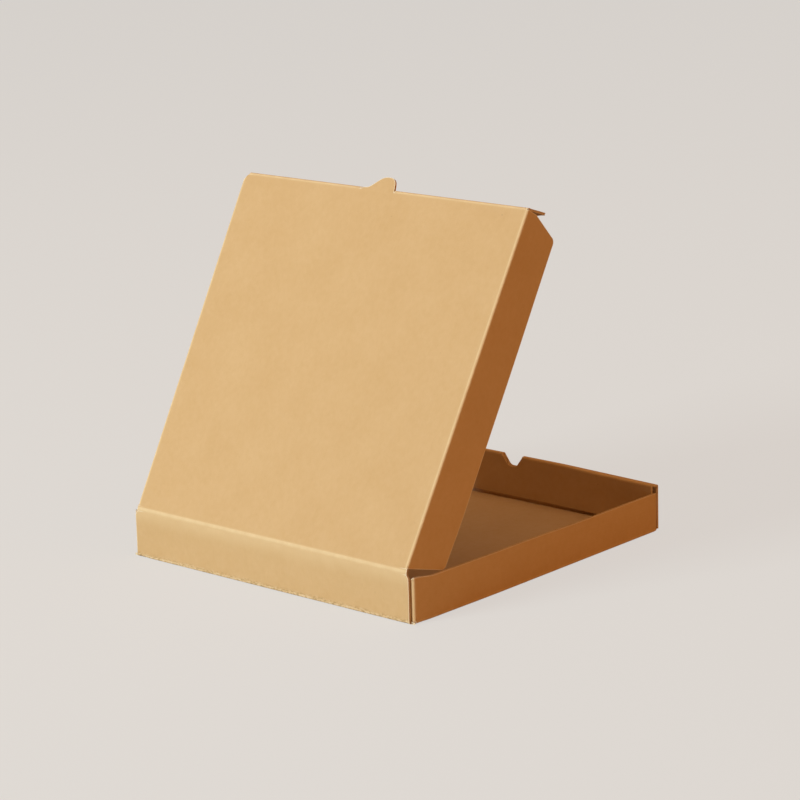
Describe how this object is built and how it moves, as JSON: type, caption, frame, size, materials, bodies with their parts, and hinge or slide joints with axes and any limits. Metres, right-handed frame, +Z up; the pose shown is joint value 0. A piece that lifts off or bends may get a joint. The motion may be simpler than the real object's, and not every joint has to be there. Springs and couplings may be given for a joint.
{
  "type": "pizza box",
  "caption": "Corrugated kraft pizza box, die-cut and folded from a sheet, with a hinged lid standing open, side flanges, tuck flap, thumb tab and a rolled front wall with a thumb notch.",
  "frame": {"origin": "middle of the tray's square footprint, on the surface that the box stands on", "axes": "+Z up; -Y towards the front wall with the thumb notch; the lid's crease runs along X at the back, at +Y"},
  "size_m": [0.33, 0.33, 0.328],
  "materials": {
    "kraft_board": "matte kraft liner on fluted board"
  },
  "bodies": {
    "tray": {"tray": "kraft_board"},
    "lid": {"lid": "kraft_board"}
  },
  "joints": [
    {"name": "lid_hinge", "type": "hinge", "parent": "tray", "child": "lid", "pos_m": [0, 0.164, 0.044], "axis": [-1, 0, 0], "range_deg": [-59.4, 120]}
  ]
}
